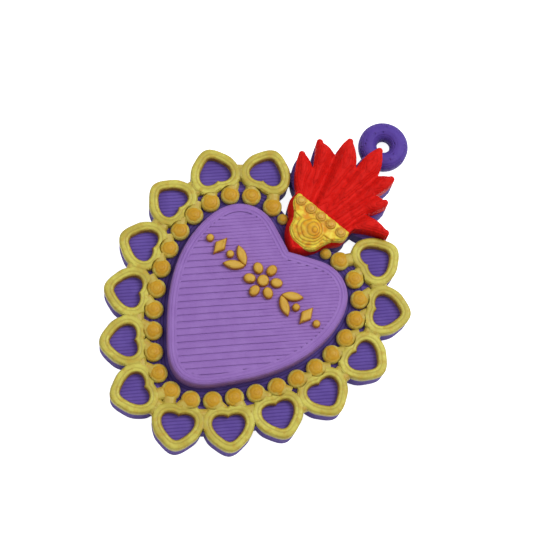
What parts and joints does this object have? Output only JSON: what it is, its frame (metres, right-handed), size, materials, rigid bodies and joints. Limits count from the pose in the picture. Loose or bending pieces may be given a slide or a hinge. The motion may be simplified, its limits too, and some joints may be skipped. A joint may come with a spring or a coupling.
{
  "type": "milagro heart charm",
  "caption": "Printed sacred-heart milagro charm: flaming vessel over a raised heart, ringed by beads and small open hearts, with a loop to hang it by.",
  "frame": {"origin": "on the flat back face, under the middle of the centre heart", "axes": "+Z out of the charm's face, +Y towards its hanging ring, +X to the right as it is looked at"},
  "size_m": [0.0386, 0.0533, 0.0063],
  "materials": {
    "violet_plastic": "printed, satin",
    "lavender_plastic": "printed, satin, fine parallel roads",
    "gold_plastic": "printed, satin",
    "amber_plastic": "printed, slightly glossy",
    "red_plastic": "printed, softly blurred"
  },
  "bodies": {
    "root": {"back_plate": "violet_plastic", "hanging_ring": "violet_plastic", "heart_frame_01": "gold_plastic", "heart_frame_02": "gold_plastic", "heart_frame_03": "gold_plastic", "heart_frame_04": "gold_plastic", "heart_frame_05": "gold_plastic", "heart_frame_06": "gold_plastic", "heart_frame_07": "gold_plastic", "heart_frame_08": "gold_plastic", "heart_frame_09": "gold_plastic", "heart_frame_10": "gold_plastic", "heart_frame_11": "gold_plastic", "heart_frame_12": "gold_plastic", "heart_frame_13": "gold_plastic", "heart_frame_14": "gold_plastic", "border_beads": "amber_plastic", "collar_beads": "amber_plastic", "centre_heart": "lavender_plastic", "flower_eye": "amber_plastic", "flower_petals": "amber_plastic", "band_leaves": "amber_plastic", "band_diamonds": "amber_plastic", "band_dots": "amber_plastic", "flame_base": "red_plastic", "flame_tongue_1": "red_plastic", "flame_tongue_2": "red_plastic", "flame_tongue_3": "red_plastic", "flame_tongue_4": "red_plastic", "flame_tongue_5": "red_plastic", "flame_tongue_6": "red_plastic", "flame_tongue_7": "red_plastic", "vessel_cup": "amber_plastic", "vessel_brim": "amber_plastic", "vessel_knobs": "amber_plastic"}
  },
  "joints": []
}
